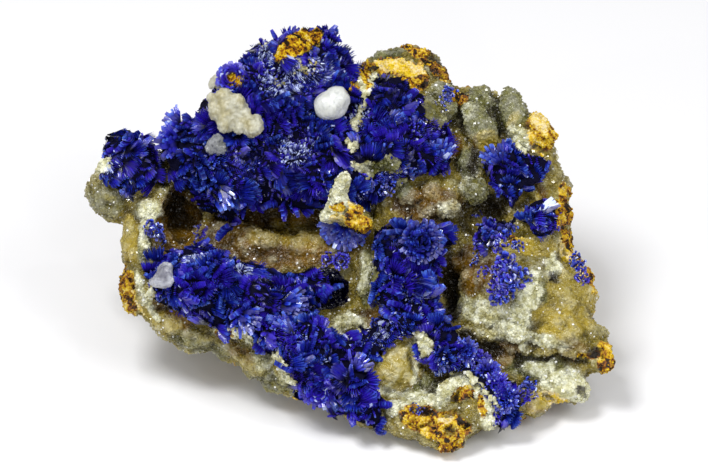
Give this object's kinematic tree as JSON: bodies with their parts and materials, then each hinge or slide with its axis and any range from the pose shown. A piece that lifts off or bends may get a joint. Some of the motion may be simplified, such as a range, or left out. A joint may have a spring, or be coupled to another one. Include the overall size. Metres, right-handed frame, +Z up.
{
  "type": "azurite on smithsonite",
  "caption": "Hand specimen of blue azurite rosettes on druzy botryoidal smithsonite over limonite, with pale calcite grains, resting on a flat underside.",
  "frame": {"origin": "on the flat underside that the specimen rests on, below the middle of the crystal face", "axes": "+Z up, +X to the right along the specimen's longest side, -Y the way the crystal face looks"},
  "size_m": [0.0535, 0.0396, 0.0303],
  "materials": {
    "smithsonite": "olive to grey-green translucent druze, sparkling, with earthy ochre limonite where it is broken",
    "azurite": "deep blue glassy blades in rosettes",
    "calcite": "white to colourless, translucent, finely crystalline",
    "limonite": "earthy, matt, yellow-orange to rust"
  },
  "bodies": {
    "root": {"smithsonite_matrix": "smithsonite", "smithsonite_ball": "smithsonite", "azurite_left_knob": "azurite", "azurite_crown": "azurite", "azurite_lower_crust": "azurite", "azurite_cup": "azurite", "azurite_ring": "azurite", "azurite_pocket_spray": "azurite", "azurite_side_spray": "azurite", "azurite_right_cluster": "azurite", "azurite_right_rosette": "azurite", "azurite_cleft_spray": "azurite", "azurite_cleft_trail": "azurite", "azurite_dome_patch": "azurite", "azurite_rim_patch": "azurite", "azurite_ledge_spray": "azurite", "calcite_bead": "calcite", "calcite_cluster": "calcite", "calcite_bud": "calcite", "calcite_grain": "calcite", "calcite_tooth": "calcite", "limonite_flake": "limonite"}
  },
  "joints": []
}
